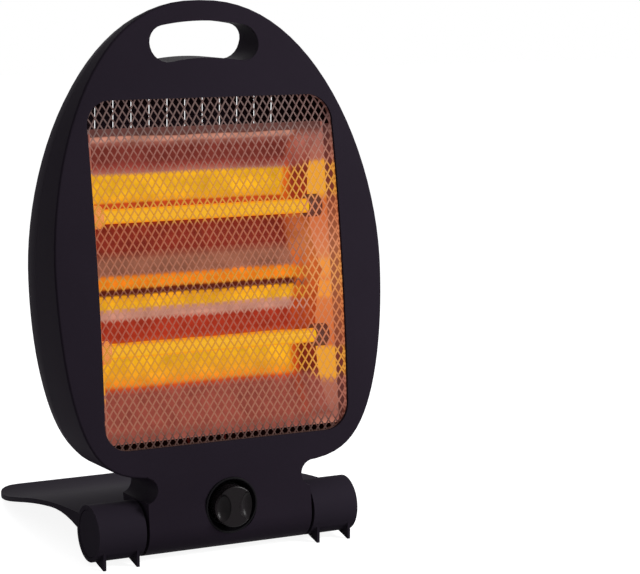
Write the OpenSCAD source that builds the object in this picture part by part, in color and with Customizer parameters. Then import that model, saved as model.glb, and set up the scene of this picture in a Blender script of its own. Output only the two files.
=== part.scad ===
// Table-top halogen heater: an egg-shaped head with two quartz tubes and a
// trough reflector behind a diamond mesh, tilting on a low stand.
// X runs to the right, Y to the back, Z up. The origin lies on the floor, in
// the middle of the footprint. Millimetres throughout.

/* [Hinge and hub] */
// Height of the tilt axis above the floor
hinge_z = 23; // [21.5:0.5:26]
// Outer radius of the hub barrel and of the two knuckles
barrel_r = 19.5; // [18.5:0.5:21]
// Length of the hub barrel between the knuckles
barrel_len = 124.4; // [120:0.4:130]
// Gap between each end of the barrel and its knuckle
hub_gap = 2.2; // [1.6:0.2:3]
// Length of each knuckle
knuckle_len = 34.6; // [30:0.4:40]
// Radius of the two pivot bolts
pivot_r = 4; // [3:0.25:5]
// Running clearance of a pivot bolt in its bush, on the radius
pivot_play = 0.05; // [0.02:0.01:0.1]
// Width of the neck at its narrowest
neck_w = 110; // [100:1:116]

/* [Stand] */
// How far the stand reaches behind the tilt axis
stand_reach = 233; // [220:1:250]
// Height of the plate's top surface where it leaves the knuckles
stand_shoulder = 34; // [33:0.5:38]
// Thickness of the plate's outer edge
stand_edge = 3.5; // [3.2:0.1:5]
// Thickness of the plate itself
stand_sheet = 3; // [2.5:0.25:3.5]
// Width of the straight part of the plate's rear edge
stand_tail_w = 118; // [80:2:124]
// Height of the four spurs' front edge that shows under the knuckles
spur_t = 2; // [1.6:0.2:3]
// How far the spurs reach in front of the tilt axis
spur_reach = 16; // [14:0.5:18]
// Diameter of the rubber feet
foot_d = 14; // [10:1:18]

/* [Head] */
// Width of the head at its widest
head_w = 247; // [238:1:256]
// Height of the widest point above the tilt axis
head_mid = 177.2; // [173:0.2:183]
// Height of the crown above the widest point
crown_rise = 179.8; // [176:0.2:184]
// Depth of the chin below the widest point
chin_drop = 140.6; // [139:0.2:142]
// Radius of the front face's curve, seen from the side
face_r = 1324; // [1200:4:1400]
// Distance from the tilt axis to the foot of the front face
face_reach = 17.8; // [17:0.1:19]
// Distance from the tilt axis to the middle of the domed back
back_reach = 55; // [54:0.5:58]
// Depth at which the dome starts, at the sides
dome_side = 31; // [30:0.5:36]
// Depth at which it starts at the crown
dome_crown = 29; // [29:0.25:33]
// Depth at which it starts at the chin
dome_chin = 24.5; // [24:0.25:30]
// Rounding of the front shell's edge
face_round = 1.5; // [1:0.25:3]
// Wall of both shells
wall = 2.4; // [2:0.1:3]

/* [Handle] */
// Height of the grip slot's middle above the tilt axis
grip_z = 330.5; // [328:0.5:332]
// Half of the grip slot's length, measured along its middle line
grip_half = 29; // [24:1:34]
// Width of the grip slot
grip_w = 25; // [22:0.5:27]
// Radius of the arc that the grip slot follows
grip_arc = 164.5; // [150:1:190]

/* [Window and guard] */
// Width of the face beside the window, at the widest point
side_frame = 30.6; // [28:0.2:36]
// Height of the window
window_h = 233.9; // [228:0.1:236]
// Height of the window's lower edge above the tilt axis
window_z = 57.4; // [55:0.2:60]
// Corner radius of the window
window_r = 18; // [12:1:24]
// Width of one diamond of the guard
diamond_w = 5.75; // [5.5:0.05:8]
// Height of one diamond of the guard
diamond_h = 8.8; // [8:0.1:12]
// Thickness of a strand of the guard
strand = 0.8; // [0.6:0.05:0.9]

/* [Reflector and tubes] */
// How far each end of the reflector stands inside the window
end_inset = 4.9; // [4.5:0.1:8]
// Depth of the two troughs behind the window
trough_depth = 33; // [32:0.25:34]
// Thickness of the reflector sheet
sheet = 0.6; // [0.5:0.1:1]
// Height of the lower tube above the window's lower edge
tube_low = 66.4; // [60:0.2:70]
// Height of the upper tube above the window's lower edge
tube_high = 158.1; // [150:0.2:164]
// Depth of both tubes behind the window
tube_depth = 19; // [17:0.5:21]
// Outer diameter of the quartz tubes
tube_d = 10; // [9:0.5:12]
// Wall of the quartz tubes
tube_wall = 1; // [0.8:0.1:1.4]
// Curls of each heating coil
coil_curls = 40; // [30:1:45]
// Diameter of the heating wire
wire_d = 0.9; // [0.7:0.1:1.2]
// Mean radius of the heating coil
coil_r = 2.5; // [2:0.1:3]
// Radius of the ceramic end caps
ceramic_r = 8; // [7:0.5:9]

/* [Knob and switch] */
// Height of the knob's axis above the tilt axis
knob_z = 12.5; // [11:0.5:14]
// Diameter of the knob
knob_d = 28.4; // [26:0.2:30]
// Outer radius of the dish round the knob
dish_r = 19.6; // [18.6:0.2:20]
// How far the knob stands out in front of the tilt axis
knob_reach = 24.5; // [23:0.5:27]
// Radius of the switch shaft
shaft_r = 3; // [2.5:0.25:3.5]

/* [Hidden] */

// the axis sits where it centres the footprint on the origin
hinge_y = -(stand_reach - knob_reach) / 2;
window_w = head_w - 2 * side_frame;
reflector_w = window_w - 2 * end_inset;
tube_len = reflector_w - 6;
post_x = window_w / 2 + 9.6;   // posts and bosses beside the window
fine = 96;                     // facets of plain round forms
seat = 0.3;                    // clearance between rigid pieces of two bodies
snug = 0.1;                    // clearance between fixed pieces

shell_plastic = "#2b2a31";
stand_plastic = "#26252b";
knob_plastic = "#1c1b20";
steel = "#b9bcc2";
mirror_metal = "#d8cfc8";
ceramic = "#e6e0d2";
rubber = "#151515";

barrel_half = barrel_len / 2;
knuckle_in = barrel_half + hub_gap;
knuckle_out = knuckle_in + knuckle_len;

module at_axis() {
    translate([0, hinge_y, hinge_z]) children();
}

// a flat outline in the side view (y, z), made as thick as w along X
module side_slab(w, x0) {
    translate([x0, 0, 0]) rotate([90, 0, 90]) linear_extrude(w) children();
}

// a flat outline in the front view (x, z), from depth y0 to depth y1
module front_slab(y0, y1) {
    translate([0, y1, 0]) rotate([90, 0, 0]) linear_extrude(y1 - y0) children();
}

module x_rod(r, x0, x1) {
    translate([x0, 0, 0]) rotate([0, 90, 0]) cylinder(h = x1 - x0, r = r, $fn = fine);
}

module y_rod(r, y0, y1) {
    translate([0, y0, 0]) rotate([-90, 0, 0]) cylinder(h = y1 - y0, r = r, $fn = fine);
}

module rounded_rect(w, h, r) {
    square([w - 2 * r, h], center = true);
    square([w, h - 2 * r], center = true);
    for (sx = [-1, 1], sz = [-1, 1])
        translate([sx * (w / 2 - r), sz * (h / 2 - r)]) circle(r = r, $fn = fine);
}

// ---------------------------------------------------------------- the stand

stand_tail_z = 7;              // top of the plate at its rear edge
foot_drop = 0.5;               // how far the rubber feet stand out
foot_pocket = 1.5;             // depth of the pockets that hold them
knuckle_wall = 3;
knuckle_floor = 4;             // the knuckle's wall that carries the bolt
cap_depth = 3.5;
web_run = 66;                  // length of the web under the plate's front
web_drop = 14;                 // its extra depth at the axis
slot_front = barrel_r + 16.5;  // front edge of the plate behind the hub
taper_start = 50;
taper_power = 2.3;
top_power = 1.25;              // how long the plate stays high before it falls
spur_in = 5;                   // from each end of a knuckle to its spur

// height of the plate's top surface at distance y behind the axis
function plate_top(y) =
    stand_tail_z + (stand_shoulder - stand_tail_z)
    * (1 + cos(180 * pow(y / stand_reach, top_power))) / 2 - hinge_z;

// height of the lower edge of the plate's rim
function plate_low(y) =
    max(foot_drop - hinge_z,
        plate_top(y) - stand_edge - web_drop * pow(max(0, 1 - y / web_run), 2));

function plate_steps(y0, y1, n) = [for (i = [0 : n]) y0 + (y1 - y0) * i / n];

// half of the plate's width at distance y behind the axis
function plate_half(y) =
    let (s = max(0, (y - taper_start) / (stand_reach - taper_start)))
    stand_tail_w / 2 + (knuckle_out - stand_tail_w / 2)
    * pow(max(0, 1 - pow(s, taper_power)), 1 / taper_power);

module plate_plan(inset) {
    front = 0;
    ys = [for (a = [0 : 7.5 : 90])
          taper_start + (stand_reach - taper_start) * pow(sin(a), 2 / taper_power)];
    right = concat([[knuckle_out - inset, front]],
                   [for (y = ys) [plate_half(y) - inset, y - inset * (y - taper_start)
                                  / (stand_reach - taper_start)]]);
    left = [for (i = [len(right) - 1 : -1 : 0]) [-right[i].x, right[i].y]];
    polygon(concat(right, left));
}

module plate_band(y0, y1, low, n) {
    ys = plate_steps(y0, y1, n);
    polygon(concat([for (y = ys) [y, plate_top(y)]],
                   [for (i = [n : -1 : 0]) [ys[i], low ? plate_low(ys[i])
                        : max(foot_drop - hinge_z, plate_top(ys[i]) - stand_sheet)]]));
}

module stand_plate() {
    inner = -hinge_z - 1;
    // the sheet, and its rim all round
    intersection() {
        side_slab(2 * knuckle_out, -knuckle_out) plate_band(0, stand_reach, false, 24);
        translate([0, 0, inner]) linear_extrude(3 * hinge_z) plate_plan(0);
    }
    difference() {
        intersection() {
            side_slab(2 * knuckle_out, -knuckle_out) plate_band(0, stand_reach, true, 24);
            translate([0, 0, inner]) linear_extrude(3 * hinge_z) plate_plan(0);
        }
        translate([0, 0, inner - 1]) linear_extrude(3 * hinge_z + 2) plate_plan(knuckle_wall);
    }
}

module stand_ribs() {
    rib_end = 190;
    rib_depth = 9;
    ys = plate_steps(slot_front, rib_end, 12);
    for (x = [-1, -1 / 3, 1 / 3, 1] * (barrel_half - 4))
        side_slab(stand_sheet * 0.8, x - stand_sheet * 0.4)
            polygon(concat([for (y = ys) [y, plate_top(y) - stand_sheet / 2]],
                [for (i = [12 : -1 : 0]) [ys[i], max(foot_drop - hinge_z, plate_top(ys[i])
                    - stand_sheet - rib_depth * (1 - pow(i / 12, 2)))]]));
}

module spur(x) {
    side_slab(spur_t, x - spur_t / 2)
        polygon([[-spur_reach, -hinge_z], [-spur_reach + 1, -hinge_z],
                 [0, -barrel_r + 0.5], [0, -barrel_r / 2],
                 [-spur_reach, -sqrt(pow(barrel_r, 2) - pow(spur_reach, 2)) + 1]]);
}

module stand() color(stand_plastic) at_axis() difference() {
    union() {
        difference() {
            union() {
                stand_plate();
                stand_ribs();
            }
            // room for the hub and its neck
            translate([-knuckle_in, -1, -hinge_z - 2])
                cube([2 * knuckle_in, slot_front + 1, 4 * hinge_z]);
        }
        translate([-knuckle_in, slot_front, plate_top(slot_front) - stand_sheet - 6])
            cube([2 * knuckle_in, stand_sheet, 6 + stand_sheet / 2]);
        for (s = [-1, 1]) foot_place(s) translate([0, 0, foot_drop])
            cylinder(h = 5.5, r = foot_d / 2 + 2, $fn = fine);
        for (s = [-1, 1]) {
            x_rod(barrel_r, s > 0 ? knuckle_in : -knuckle_out, s > 0 ? knuckle_out : -knuckle_in);
            for (x = [knuckle_in + spur_in, knuckle_out - spur_in]) spur(s * x);
            translate([s > 0 ? knuckle_in : -knuckle_in - knuckle_wall, 0, 0])
                side_slab(knuckle_wall, 0) plate_band(0, slot_front + 6, true, 6);
        }
    }
    for (s = [-1, 1]) {
        x_rod(barrel_r - knuckle_wall,
              s > 0 ? knuckle_in + knuckle_floor : -knuckle_out - 1,
              s > 0 ? knuckle_out + 1 : -knuckle_in - knuckle_floor);
        x_rod(pivot_r + pivot_play, s > 0 ? knuckle_in - 1 : -knuckle_in - knuckle_floor - 1,
              s > 0 ? knuckle_in + knuckle_floor + 1 : -knuckle_in + 1);
        foot_place(s) translate([0, 0, -1])
            cylinder(h = foot_pocket + foot_drop + 1, d = foot_d + 2 * snug, $fn = fine);
    }
}

foot_y = stand_reach - foot_d - 5;
foot_x = stand_tail_w / 2;

module foot_place(s) {
    translate([s * foot_x, foot_y, -hinge_z]) children();
}

module foot_pads() color(rubber) at_axis() for (s = [-1, 1])
    foot_place(s) cylinder(h = foot_pocket + foot_drop - snug, d = foot_d, $fn = fine);

module knuckle_cap(s) color(stand_plastic) at_axis() mirror([s > 0 ? 0 : 1, 0, 0]) difference() {
    x_rod(barrel_r - knuckle_wall - snug, knuckle_out - 3 * cap_depth, knuckle_out - seat);
    x_rod(barrel_r - 2 * knuckle_wall, knuckle_out - 3 * cap_depth - 1, knuckle_out - cap_depth);
}

// ------------------------------------------------------------ the two pivots

bolt_head = 3;
bush_flange = 2;
end_wall = 3;                  // thickness of the barrel's end walls
bush_wall = 3;
spring_h = 2;
nut_h = 6.5;

module pivot_bolt(s) color(steel) at_axis() mirror([s > 0 ? 0 : 1, 0, 0]) {
    head_in = barrel_half - end_wall - bush_flange - seat;
    x_rod(pivot_r, head_in - bolt_head / 2, knuckle_in + knuckle_floor + spring_h + nut_h + 2);
    x_rod(2 * pivot_r, head_in - bolt_head, head_in);
}

module pivot_springs() color(steel) at_axis() for (s = [0, 1]) mirror([s, 0, 0])
    translate([knuckle_in + knuckle_floor + 0.05, 0, 0]) rotate([0, 90, 0])
        rotate_extrude($fn = fine) polygon([[pivot_r + 0.2, 0.9], [2.4 * pivot_r, 0],
            [2.4 * pivot_r, 0.9], [pivot_r + 0.2, spring_h - 0.1]]);

module pivot_nuts() color(steel) at_axis() for (s = [0, 1]) mirror([s, 0, 0])
    translate([knuckle_in + knuckle_floor + spring_h, 0, 0]) rotate([0, 90, 0]) difference() {
        cylinder(h = nut_h, r = 1.85 * pivot_r, $fn = 6);
        translate([0, 0, -1]) cylinder(h = nut_h + 2, r = pivot_r + 0.02, $fn = fine);
    }

module hinge_bush(s) color(ceramic) at_axis() mirror([s > 0 ? 0 : 1, 0, 0]) difference() {
    union() {
        x_rod(pivot_r + bush_wall, barrel_half - end_wall - bush_flange / 2,
              knuckle_in - seat);
        x_rod(pivot_r + 2 * bush_wall, barrel_half - end_wall - bush_flange,
              barrel_half - end_wall - 0.05);
    }
    x_rod(pivot_r + pivot_play, 0, knuckle_in + 1);
}

// ------------------------------------------------- the head's two shells

crown_power = [1.85, 2.28];    // how full the outline is above its widest point
chin_power = [1.9, 6.6];        // and below it
quarter = 24;                  // points in a quarter of the outline
face_foot = 17.6;              // height where the front face stands upright
parting_mid = 26;              // depth of the seam at the widest point
parting_lean = 0.015;          // how much the seam leans back
neck_top = 46;

function sgn_pow(v, p) = sign(v) * pow(abs(v), p);

function egg_point(t) =
    let (up = sin(t) >= 0, power = up ? crown_power : chin_power)
    [head_w / 2 * sgn_pow(cos(t), 2 / power[1]),
     head_mid + (up ? crown_rise : chin_drop) * sgn_pow(sin(t), 2 / power[0])];

egg = [for (i = [0 : 4 * quarter - 1]) egg_point(i * 90 / quarter)];

// the outline moved inwards by d
function egg_inset(d) = [for (i = [0 : len(egg) - 1])
    let (n = len(egg), run = egg[(i + 1) % n] - egg[(i + n - 1) % n])
    egg[i] + d * [-run.y, run.x] / norm(run)];

function face_y(z) = -face_reach + face_r - sqrt(pow(face_r, 2) - pow(z - face_foot, 2));

// the domed back: how full it is at the sides, the crown and the chin, and its
// depth on the ring of scale k where the outline's angle has the squared sine w
dome_full = [28, 6, 4];
function dome_y(k, w, up) =
    let (start = dome_side + ((up ? dome_crown : dome_chin) - dome_side) * w,
         full = dome_full[0] + (dome_full[up ? 1 : 2] - dome_full[0]) * w)
    start + (back_reach - start) * sqrt(1 - pow(k, full));

// the scale of the ring that passes through a point of the front view
function ring_share(x, z, k) =
    let (up = z > 0, power = up ? crown_power : chin_power)
    pow(abs(z) / k / (up ? crown_rise : chin_drop), power[0])
    + pow(abs(x) / k / head_w * 2, power[1]);
function ring_scale(x, z, low = 0.001, high = 1, n = 12) =
    let (k = (low + high) / 2)
    n == 0 ? high : ring_share(x, z, k) > 1 ? ring_scale(x, z, k, high, n - 1)
                                            : ring_scale(x, z, low, k, n - 1);
function back_y(x, z) =
    let (up = z > head_mid, k = ring_scale(x, z - head_mid),
         power = up ? crown_power : chin_power,
         w = pow(abs(z - head_mid) / k / (up ? crown_rise : chin_drop), power[0]))
    dome_y(k, w, up);
function parting_y(z) = parting_mid + parting_lean * (z - head_mid);

// rings of the same count joined into one closed skin: the first ring is
// closed by a flat face, the last by a fan to the tip
function on_face(ring, back) = [for (p = ring) [p.x, face_y(p.y) + back, p.y]];
function on_dome(ring, k, front) = [for (i = [0 : len(ring) - 1])
    let (t = i * 90 / quarter, p = ring[i])
    [p.x * k, dome_y(k, pow(sin(t), 2), sin(t) > 0) - front, head_mid + (p.y - head_mid) * k]];
function shrunk(ring, k) = [for (p = ring) [p.x * k, head_mid + (p.y - head_mid) * k]];

function turned(ring) = [for (i = [len(ring) - 1 : -1 : 0]) ring[i]];

module skin(rings, tip) {
    n = len(rings[0]);
    m = len(rings);
    sides = [for (r = [0 : m - 2], i = [0 : n - 1])
        let (a = r * n + i, b = r * n + (i + 1) % n)
        each [[a, b, b + n], [a, b + n, a + n]]];
    fan = [for (i = [0 : n - 1]) [(m - 1) * n + i, (m - 1) * n + (i + 1) % n, m * n]];
    polyhedron(points = concat([for (r = rings) each r], [tip]),
               faces = concat([[for (i = [n - 1 : -1 : 0]) i]], sides, fan));
}

face_rings = [0.8, 0.6, 0.4, 0.2];
dome_rings = [1, 0.993, 0.975, 0.94, 0.88, 0.78, 0.65, 0.45, 0.2];

// the front half of the head as a solid, set in by d
module front_half(d) {
    edge = max(face_round - d, 0.4);
    base = egg_inset(d);
    rings = concat(
        [[for (p = base) [p.x, head_depth_cut, p.y]]],
        [on_face(base, d + edge)],
        [on_face(egg_inset(d + edge * 0.3), d + edge * 0.3)],
        [on_face(egg_inset(d + edge), d)],
        [for (k = face_rings) on_face(shrunk(egg_inset(d + edge), k), d)]);
    skin([for (r = rings) turned(r)], [0, face_y(head_mid) + d, head_mid]);
}
head_depth_cut = 40;           // past the seam at every height

// the back half of the head as a solid, set in by d
module back_half(d) {
    base = egg_inset(d);
    skin(concat([[for (p = base) [p.x, 15, p.y]]], [for (k = dome_rings) on_dome(base, k, d)]),
         [0, back_reach - d, head_mid]);
}

// everything in front of the seam, or behind it, moved by gap
module seam_side(front, gap) {
    low = neck_top - 60;
    high = head_mid + crown_rise + 20;
    far = head_w;
    y_low = parting_y(low) + gap;
    y_high = parting_y(high) + gap;
    side_slab(2 * far, -far) polygon(front
        ? [[-far, low], [y_low, low], [y_high, high], [-far, high]]
        : [[far, low], [far, high], [y_high, high], [y_low, low]]);
}

chin_z = head_mid - chin_drop;
notch_r = (chin_z + 1.5 - barrel_r) / 2;
neck_back = 31.5;               // depth of the neck where it meets the head

module neck_front_view(d) difference() {
    translate([-neck_w / 2 - notch_r, 0])
        square([neck_w + 2 * notch_r, neck_top - d]);
    for (s = [-1, 1]) translate([s * (neck_w / 2 + notch_r), barrel_r + notch_r])
        circle(r = notch_r + d, $fn = fine);
}

module neck_side_view(d) {
    reach = norm([neck_back, neck_top]);
    a = atan2(neck_top, neck_back) - acos(barrel_r / reach);
    r = barrel_r - d;
    polygon([[-r, 0], [-face_reach + d, face_foot - d], [face_y(neck_top) + d, neck_top],
             [neck_back - d, neck_top], [r * cos(a), r * sin(a)]]);
}

// the hub barrel with its neck, set in by d
module hub(d) {
    half = barrel_half - (d > 0 ? end_wall : 0);
    x_rod(barrel_r - d, -half, half);
    intersection() {
        side_slab(2 * half, -half) neck_side_view(d);
        front_slab(-60, 60) neck_front_view(d);
    }
}

// the grip slot's outline: two arcs and two round ends
module grip_slot(more) {
    a = grip_half / grip_arc * 180 / PI;
    w = grip_w / 2 + more;
    ends = [0 : 15 : 180];
    over = [for (t = [-a : a / 8 : a - a / 16]) (grip_arc + w) * [sin(t), cos(t)]];
    under = [for (t = [a : -a / 8 : -a + a / 16]) (grip_arc - w) * [sin(t), cos(t)]];
    right = [for (f = ends) grip_arc * [sin(a), cos(a)]
        + w * (cos(f) * [sin(a), cos(a)] + sin(f) * [cos(a), -sin(a)])];
    left = [for (i = [len(right) - 1 : -1 : 0]) [-right[i].x, right[i].y]];
    translate([0, grip_z - grip_arc]) polygon(concat(
        [for (i = [1 : len(over) - 1]) over[i]], right, [for (i = [1 : len(under) - 1]) under[i]], left));
}

grip_low = grip_z - grip_w;
grip_high = grip_z + grip_w;
window_mid = window_z + window_h / 2;

module window_outline(more) {
    translate([0, window_mid])
        rounded_rect(window_w + 2 * more, window_h + 2 * more, window_r + more);
}

// bosses that join the shells: x and height above the axis
boss_rows = [[0.355 * window_w, 47], [post_x, 145], [post_x, 186], [0.3 * window_w, 310]];
shell_bosses = [for (b = boss_rows, s = [-1, 1]) [s * b.x, b.y]];
boss_r = 4;
back_boss_r = 4.6;
pilot_r = 1.5;
screw_r = 1.4;
screw_head_r = 3.2;
screw_head_h = 2.4;
screw_seat = 6;                // depth of a screw's seat below the back's surface

module front_shell() color(shell_plastic) at_axis() difference() {
    union() {
        difference() {
            intersection() {
                front_half(0);
                seam_side(true, 0);
            }
            front_half(wall);
        }
        intersection() {
            difference() {
                hub(0);
                hub(wall);
            }
            translate([-head_w, -60, -60]) cube([2 * head_w, 60, 60 + neck_top - 4]);
        }
        for (b = shell_bosses) translate([b.x, 0, b.y])
            y_rod(boss_r, face_y(b.y) + wall / 2, parting_y(b.y));
        // posts for the reflector's tabs
        window_frame() for (s = [-1, 1], z = tab_z) translate([s * tab_x, 0, z])
            y_rod(boss_r, -3.6, edge_depth - 1.05);
    }
    front_slab(-60, 60) window_outline(0);
    front_slab(-60, 60) grip_slot(0);
    for (b = shell_bosses) translate([b.x, 0, b.y])
        y_rod(pilot_r, face_y(b.y) + wall + 1.5, 60);
    window_frame() for (s = [-1, 1], z = tab_z) translate([s * tab_x, 0, z])
        y_rod(pilot_r, -0.5, 10);
    // a way for the leads from the head to the hub
    translate([-neck_w / 2 + 12, -face_reach + wall + 1, chin_z - 3])
        cube([neck_w - 24, face_reach + 16, 14]);
    for (s = [0, 1]) mirror([s, 0, 0]) x_rod(pivot_r + bush_wall + snug, 0, barrel_half + 1);
    translate([0, 0, knob_z]) {
        y_rod(dish_r + snug, -60, -dish_front + dish_lip + snug);
        y_rod(dish_r - 0.8, -60, -face_reach / 2);
    }
}

vent_pitch = 13.6;
vent_w = 4;
vent_count = 11;

module slot_row(z, h, count) {
    for (i = [0 : count - 1]) translate([(i - (count - 1) / 2) * vent_pitch, z])
        square([vent_w, h], center = true);
}

module back_shell() color(shell_plastic) at_axis() difference() {
    union() {
        difference() {
            intersection() {
                back_half(0);
                seam_side(false, snug);
            }
            back_half(wall);
        }
        difference() {
            intersection() {
                hub(0);
                union() {
                    translate([-head_w, snug, -60]) cube([2 * head_w, 60, 60 + chin_z - 0.4]);
                    translate([-head_w, parting_y(neck_top) + snug, 0])
                        cube([2 * head_w, 60, neck_top]);
                }
            }
            hub(wall);
        }
        // the grip's own wall, up to the front shell
        intersection() {
            back_half(wall / 2);
            front_slab(0, back_reach) grip_slot(wall);
            side_slab(4 * grip_half, -2 * grip_half)
                polygon([[face_y(grip_low) + wall + snug, grip_low],
                         [face_y(grip_high) + wall + snug, grip_high],
                         [2 * back_reach, grip_high], [2 * back_reach, grip_low]]);
        }
        intersection() {
            back_half(wall / 2);
            for (b = shell_bosses) translate([b.x, 0, b.y])
                y_rod(back_boss_r, parting_y(b.y) + snug, back_reach);
        }
        // a flat seat for the cord's gland
        translate([0, 0, gland_z]) y_rod(gland_r + 4, gland_in, gland_out);
        // a shelf for the tip-over switch
        translate([28, 7.1, -3]) cube([16, 10.5, 3]);
    }
    front_slab(-60, 60 + back_reach) grip_slot(0);
    front_slab(parting_y(281) + 1, back_reach + 5) {
        slot_row(281, 34, vent_count);
        slot_row(96, 26, 7);
    }
    for (b = shell_bosses) translate([b.x, 0, b.y]) {
        y_rod(screw_r + 0.3, 0, back_reach + 5);
        y_rod(screw_head_r + 0.3, back_y(b.x, b.y) - screw_seat, back_reach + 5);
    }
    for (s = [0, 1]) mirror([s, 0, 0]) x_rod(pivot_r + bush_wall + snug, 0, barrel_half + 1);
    translate([0, 0, gland_z]) {
        y_rod(gland_r, 0, back_reach + 5);
        y_rod(gland_r + 4, gland_out, back_reach + 5);
    }
}

module shell_screws() color(steel) at_axis() for (b = shell_bosses) translate([b.x, 0, b.y]) {
    seat_y = back_y(b.x, b.y) - screw_seat + snug;
    y_rod(screw_r, parting_y(b.y) - 9, seat_y + 1);
    y_rod(screw_head_r, seat_y, seat_y + screw_head_h);
}

// ------------------------------------------------------------- the guard

rim_out = 5;                   // how far the rim reaches behind the face
rim_in = 0.2;                  // and into the window
fold = 0.5;                    // sheet of the rim
mesh_front = wall + 0.9;       // depth of the mesh behind the face

// the curved layer between two depths behind the front face
module face_layer(d0, d1) {
    translate([0, face_r - face_reach, face_foot]) difference() {
        x_rod_at(face_r - d0);
        x_rod_at(face_r - d1);
    }
}

module x_rod_at(r) {
    translate([-window_w, 0, 0]) rotate([0, 90, 0]) cylinder(h = 2 * window_w, r = r, $fn = 720);
}

module guard_rim() color(steel) at_axis() intersection() {
    face_layer(mesh_front - 0.1 - fold, mesh_front + 2 * strand + 0.2 + fold);
    front_slab(-60, 60) difference() {
        window_outline(rim_out);
        window_outline(-rim_in);
    }
    difference() {
        front_slab(-60, 60) square([4 * window_w, 8 * window_h], center = true);
        intersection() {
            face_layer(mesh_front - 0.1, mesh_front + 2 * strand + 0.2);
            front_slab(-60, 60) window_outline(rim_out - fold);
        }
    }
}

// parallel strands that lean to one side, cut to the window
module strands(s) {
    a = atan2(diamond_h, diamond_w);
    reach = window_w / 2 + window_h / 2 * diamond_w / diamond_h;
    count = floor(reach / diamond_w);
    run = norm([window_w, window_h]);
    intersection() {
        window_outline(rim_out - fold - 0.3);
        union() for (i = [-count - 1 : count + 1])
            translate([i * diamond_w + diamond_w / 4, window_mid]) rotate(s * a)
                square([run * 1.2, strand], center = true);
    }
}

module guard_mesh() color(steel) at_axis() for (s = [-1, 1]) intersection() {
    face_layer(mesh_front + (s > 0 ? 0 : strand + 0.05),
               mesh_front + (s > 0 ? strand : 2 * strand + 0.05));
    front_slab(-60, 60) strands(s);
}

// ----------------------------------------------- the reflector and tubes

window_lean = atan2(face_y(window_z + window_h) - face_y(window_z), window_h);

// the window's own frame: y is depth behind it, z runs up along it
module window_frame() {
    translate([0, face_y(window_z), window_z]) rotate([-window_lean, 0, 0]) children();
}

module in_window() {
    at_axis() window_frame() children();
}

trough_low = 6;                // lower edge of the reflector
trough_high = 212;             // upper edge
trough_mid = (tube_low + tube_high) / 2;
edge_depth = 7;                // depth of the outer edges behind the window
ridge_depth = 15;              // depth of the ridge between the troughs
lip_h = 5;                     // flat lip above the upper trough
lip_low = 1.5;                 // and below the lower one
flange_x = window_w / 2 + 4.1;               // outer edge of the end plates' flanges

function trough(z0, z1, d0, d1, n) = [for (i = [0 : n])
    let (s = i / n, base = d0 + (d1 - d0) * s)
    [base + (trough_depth - base) * pow(sin(180 * s), 0.62), z0 + (z1 - z0) * s]];

reflector_line = concat(
    [[edge_depth, trough_low - lip_low]],
    trough(trough_low, trough_mid, edge_depth, ridge_depth, 16),
    [for (i = [1 : 16]) trough(trough_mid, trough_high, ridge_depth, edge_depth, 16)[i]],
    [[edge_depth, trough_high + lip_h]]);

module reflector_profile(back) {
    n = len(reflector_line);
    polygon(concat(reflector_line, [for (i = [n - 1 : -1 : 0]) reflector_line[i] + [back, 0]]));
}

module reflector() color(mirror_metal) in_window()
    side_slab(reflector_w, -reflector_w / 2) reflector_profile(sheet);

// tabs that hold the end plates to posts on the front shell
tab_x = post_x;
tab_z = [60, 176];
tab_h = 14;

module end_plate_outline() {
    difference() {
        polygon([[edge_depth - 1, trough_low - lip_low], [edge_depth - 1, trough_high + lip_h],
                 [trough_depth + 3, trough_high - 12], [trough_depth + 3, trough_low + 12]]);
        for (z = [tube_low, tube_high]) translate([tube_depth, z])
            circle(r = ceramic_r + snug, $fn = fine);
    }
}

module reflector_end(s) color(mirror_metal) in_window() mirror([s > 0 ? 0 : 1, 0, 0]) {
    side_slab(sheet, reflector_w / 2 + 0.05) end_plate_outline();
    translate([reflector_w / 2 + 0.05, edge_depth - 1, trough_low - lip_low])
        cube([flange_x - reflector_w / 2, sheet, trough_high - trough_low + lip_low + 3]);
    difference() {
        for (z = tab_z) translate([reflector_w / 2 + 0.05, edge_depth - 1, z - tab_h / 2])
            cube([tab_x + 5 - reflector_w / 2, sheet, tab_h]);
        for (z = tab_z) translate([tab_x, 0, z]) y_rod(screw_r + 0.3, 0, 20);
    }
}

module reflector_screws() color(steel) in_window() for (s = [-1, 1], z = tab_z)
    translate([s * tab_x, 0, z]) {
        y_rod(screw_r, edge_depth - 6, edge_depth + 0.5);
        y_rod(screw_head_r, edge_depth - 1 + sheet + 0.05, edge_depth + 1.5);
    }

module tube_at(z) {
    in_window() translate([0, tube_depth, z]) children();
}

module quartz_tube(z) color("#f6e2c0") tube_at(z) difference() {
    x_rod(tube_d / 2, -tube_len / 2, tube_len / 2);
    x_rod(tube_d / 2 - tube_wall, -tube_len / 2 - 1, tube_len / 2 + 1);
}

coil_rings = 8;                // rings in a curl
coil_sides = 6;
coil_margin = 12;              // straight stretch at each end of a tube
coil_pitch = (tube_len - 2 * coil_margin) / coil_curls;
coil_steps = coil_curls * coil_rings;

// the middle line of a coil: a straight lead, the curls and a straight lead
function coil_point(i) = let (a = 360 * i / coil_rings)
    [-tube_len / 2 + coil_margin + coil_pitch * i / coil_rings, coil_r * cos(a), coil_r * sin(a)];
coil_path = concat([[-tube_len / 2, coil_r, 0], [-tube_len / 2 + 3 * wire_d, coil_r, 0]],
                   [for (i = [0 : coil_steps]) coil_point(i)],
                   [[tube_len / 2 - 3 * wire_d, coil_r, 0], [tube_len / 2, coil_r, 0]]);

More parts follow.
